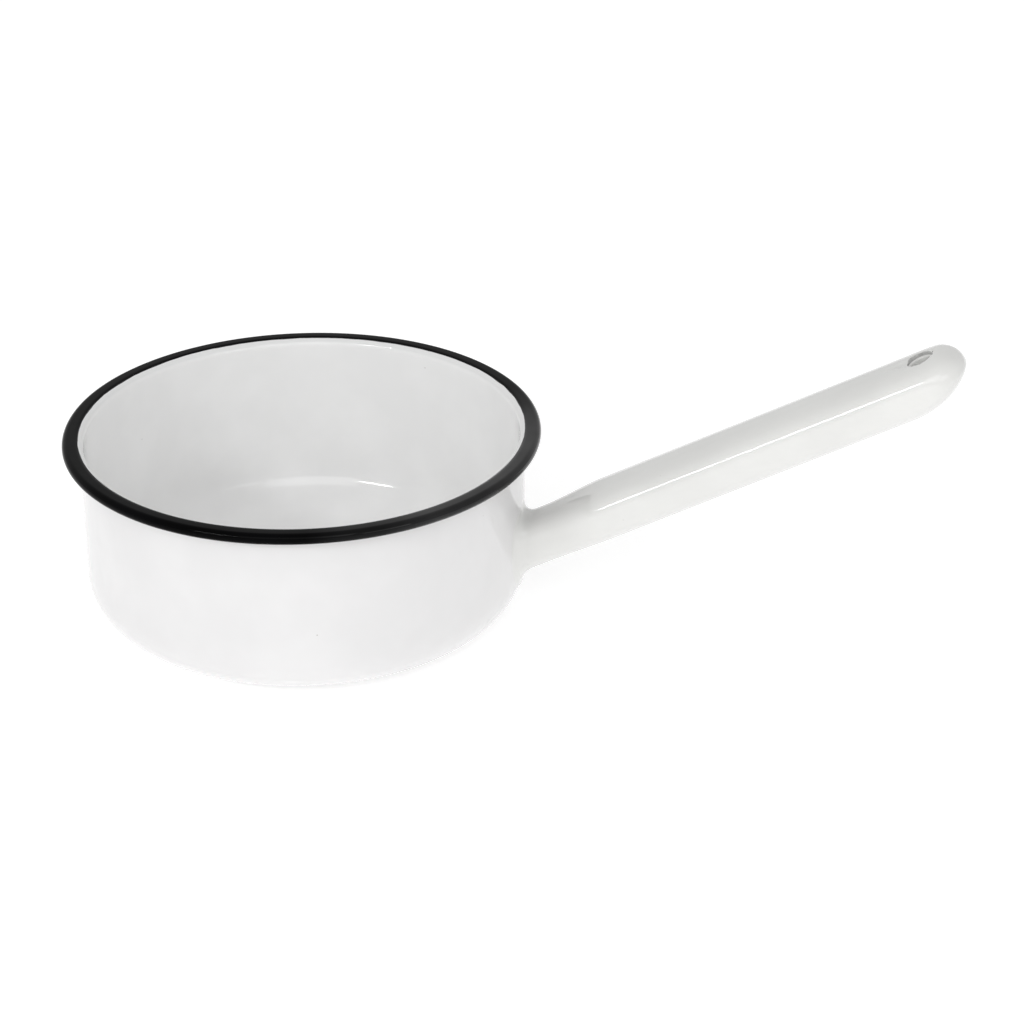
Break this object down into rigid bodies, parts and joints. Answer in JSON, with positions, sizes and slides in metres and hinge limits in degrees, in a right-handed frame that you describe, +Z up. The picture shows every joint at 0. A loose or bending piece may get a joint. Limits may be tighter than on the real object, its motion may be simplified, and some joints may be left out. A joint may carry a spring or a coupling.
{
  "type": "saucepan",
  "caption": "Enamelled steel milk pan: drawn bowl with dished base and curled dark rim, hollow welded handle rising at an angle, hanging eye near the tip.",
  "frame": {"origin": "on the bowl's axis, at the plane that the foot ring stands on", "axes": "+Z up along the bowl's axis, +X towards the handle's nose, +Y across"},
  "size_m": [0.3175, 0.17, 0.1156],
  "materials": {
    "steel": "bare sheet under enamel",
    "weld_steel": "ground weld",
    "ground_enamel": "dark ground coat",
    "white_enamel": "gloss",
    "black_enamel": "gloss"
  },
  "bodies": {
    "root": {"bowl": "steel", "handle_upper_shell": "steel", "handle_lower_shell": "steel", "handle_seam_weld": "weld_steel", "handle_eye_weld": "weld_steel", "handle_root_weld": "weld_steel", "base_coat": "ground_enamel", "ground_coat_inside": "ground_enamel", "ground_coat_outside": "ground_enamel", "handle_ground_coat": "ground_enamel", "white_coat_inside": "white_enamel", "white_coat_outside": "white_enamel", "handle_white_coat": "white_enamel", "black_rim_coat": "black_enamel"}
  },
  "joints": []
}
